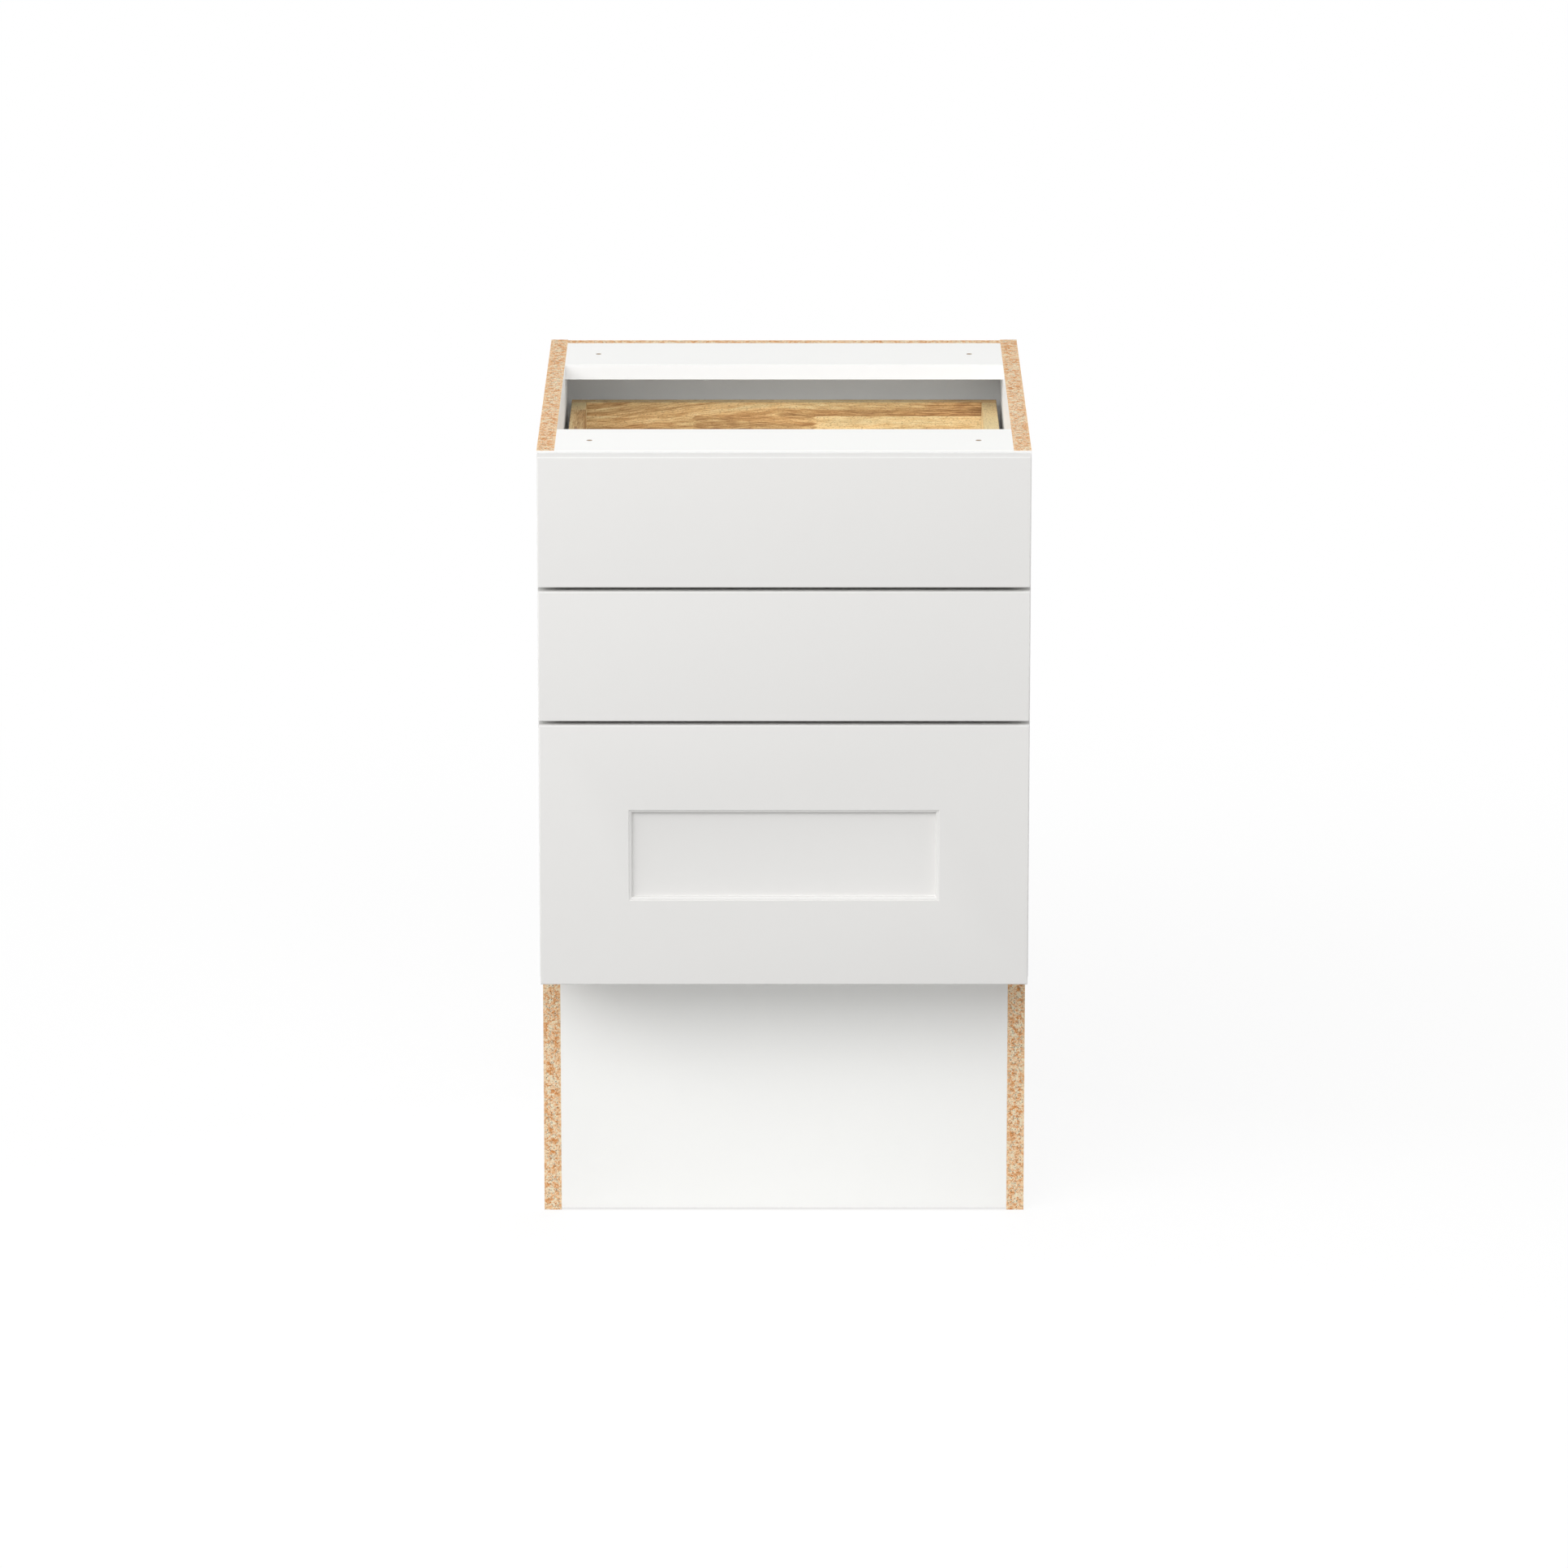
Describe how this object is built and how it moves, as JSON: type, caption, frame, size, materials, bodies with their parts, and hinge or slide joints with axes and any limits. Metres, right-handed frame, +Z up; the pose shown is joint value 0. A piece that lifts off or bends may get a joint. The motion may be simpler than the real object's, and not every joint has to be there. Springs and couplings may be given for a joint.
{
  "type": "base cabinet with drawers",
  "caption": "Frameless kitchen base cabinet with shallow slab drawers over a deep drawer with a sunk panel, flat top rails and a tall recessed toe space.",
  "frame": {"origin": "on the floor, at the middle of the footprint of the carcass and its closed fronts", "axes": "+Z up, +X to the right of someone facing the fronts, -Y the way the drawers open"},
  "size_m": [0.5, 0.601, 0.83],
  "materials": {
    "melamine_board": "white melamine faces on chipboard, bare chipboard at the cut edges",
    "edge_band": "smooth white edge banding",
    "painted_front": "satin warm light grey paint on fibreboard",
    "hardwood": "clear satin lacquer on staved golden-brown hardwood",
    "base_plywood": "lacquered plywood",
    "galvanised_steel": "zinc-plated sheet",
    "screw_steel": "bright zinc",
    "dowel_wood": "bare beech",
    "clip_plastic": "grey moulded plastic",
    "clear_silicone": "clear soft silicone"
  },
  "bodies": {
    "carcass": {"left_side_panel": "melamine_board", "right_side_panel": "melamine_board", "bottom_panel": "melamine_board", "back_panel": "melamine_board", "front_top_rail": "melamine_board", "rear_top_rail": "melamine_board", "toe_board": "melamine_board", "left_side_edge_band": "edge_band", "right_side_edge_band": "edge_band", "bottom_panel_edge_band": "edge_band", "front_rail_edge_band": "edge_band", "rear_rail_edge_band": "edge_band", "carcass_dowels": "dowel_wood", "carcass_screws": "screw_steel", "slide_screws": "screw_steel", "front_bumpers": "clear_silicone", "upper_left_cabinet_rail": "galvanised_steel", "upper_right_cabinet_rail": "galvanised_steel", "middle_left_cabinet_rail": "galvanised_steel", "middle_right_cabinet_rail": "galvanised_steel", "lower_left_cabinet_rail": "galvanised_steel", "lower_right_cabinet_rail": "galvanised_steel"},
    "upper_runners": {"upper_left_runner": "galvanised_steel", "upper_right_runner": "galvanised_steel"},
    "upper_drawer": {"upper_drawer_front": "painted_front", "upper_box_front": "hardwood", "upper_box_back": "hardwood", "upper_box_left_side": "hardwood", "upper_box_right_side": "hardwood", "upper_box_bottom": "base_plywood", "upper_front_screws": "screw_steel", "upper_locking_clips": "clip_plastic", "upper_left_drawer_rail": "galvanised_steel", "upper_right_drawer_rail": "galvanised_steel"},
    "middle_runners": {"middle_left_runner": "galvanised_steel", "middle_right_runner": "galvanised_steel"},
    "middle_drawer": {"middle_drawer_front": "painted_front", "middle_box_front": "hardwood", "middle_box_back": "hardwood", "middle_box_left_side": "hardwood", "middle_box_right_side": "hardwood", "middle_box_bottom": "base_plywood", "middle_front_screws": "screw_steel", "middle_locking_clips": "clip_plastic", "middle_left_drawer_rail": "galvanised_steel", "middle_right_drawer_rail": "galvanised_steel"},
    "lower_runners": {"lower_left_runner": "galvanised_steel", "lower_right_runner": "galvanised_steel"},
    "lower_drawer": {"lower_drawer_front": "painted_front", "lower_box_front": "hardwood", "lower_box_back": "hardwood", "lower_box_left_side": "hardwood", "lower_box_right_side": "hardwood", "lower_box_bottom": "base_plywood", "lower_front_screws": "screw_steel", "lower_locking_clips": "clip_plastic", "lower_left_drawer_rail": "galvanised_steel", "lower_right_drawer_rail": "galvanised_steel"}
  },
  "joints": [
    {"name": "upper_drawer_slide", "type": "slide", "parent": "carcass", "child": "upper_drawer", "axis": [0, -1, 0], "range_m": [0, 0.5]},
    {"name": "upper_runner_slide", "type": "slide", "parent": "carcass", "child": "upper_runners", "axis": [0, -1, 0], "range_m": [0, 0.25]},
    {"name": "middle_drawer_slide", "type": "slide", "parent": "carcass", "child": "middle_drawer", "axis": [0, -1, 0], "range_m": [0, 0.5]},
    {"name": "middle_runner_slide", "type": "slide", "parent": "carcass", "child": "middle_runners", "axis": [0, -1, 0], "range_m": [0, 0.25]},
    {"name": "lower_drawer_slide", "type": "slide", "parent": "carcass", "child": "lower_drawer", "axis": [0, -1, 0], "range_m": [0, 0.5]},
    {"name": "lower_runner_slide", "type": "slide", "parent": "carcass", "child": "lower_runners", "axis": [0, -1, 0], "range_m": [0, 0.25]}
  ],
  "couplings": [
    {"joint": "upper_runner_slide", "follows": "upper_drawer_slide", "ratio": 0.5},
    {"joint": "middle_runner_slide", "follows": "middle_drawer_slide", "ratio": 0.5},
    {"joint": "lower_runner_slide", "follows": "lower_drawer_slide", "ratio": 0.5}
  ]
}
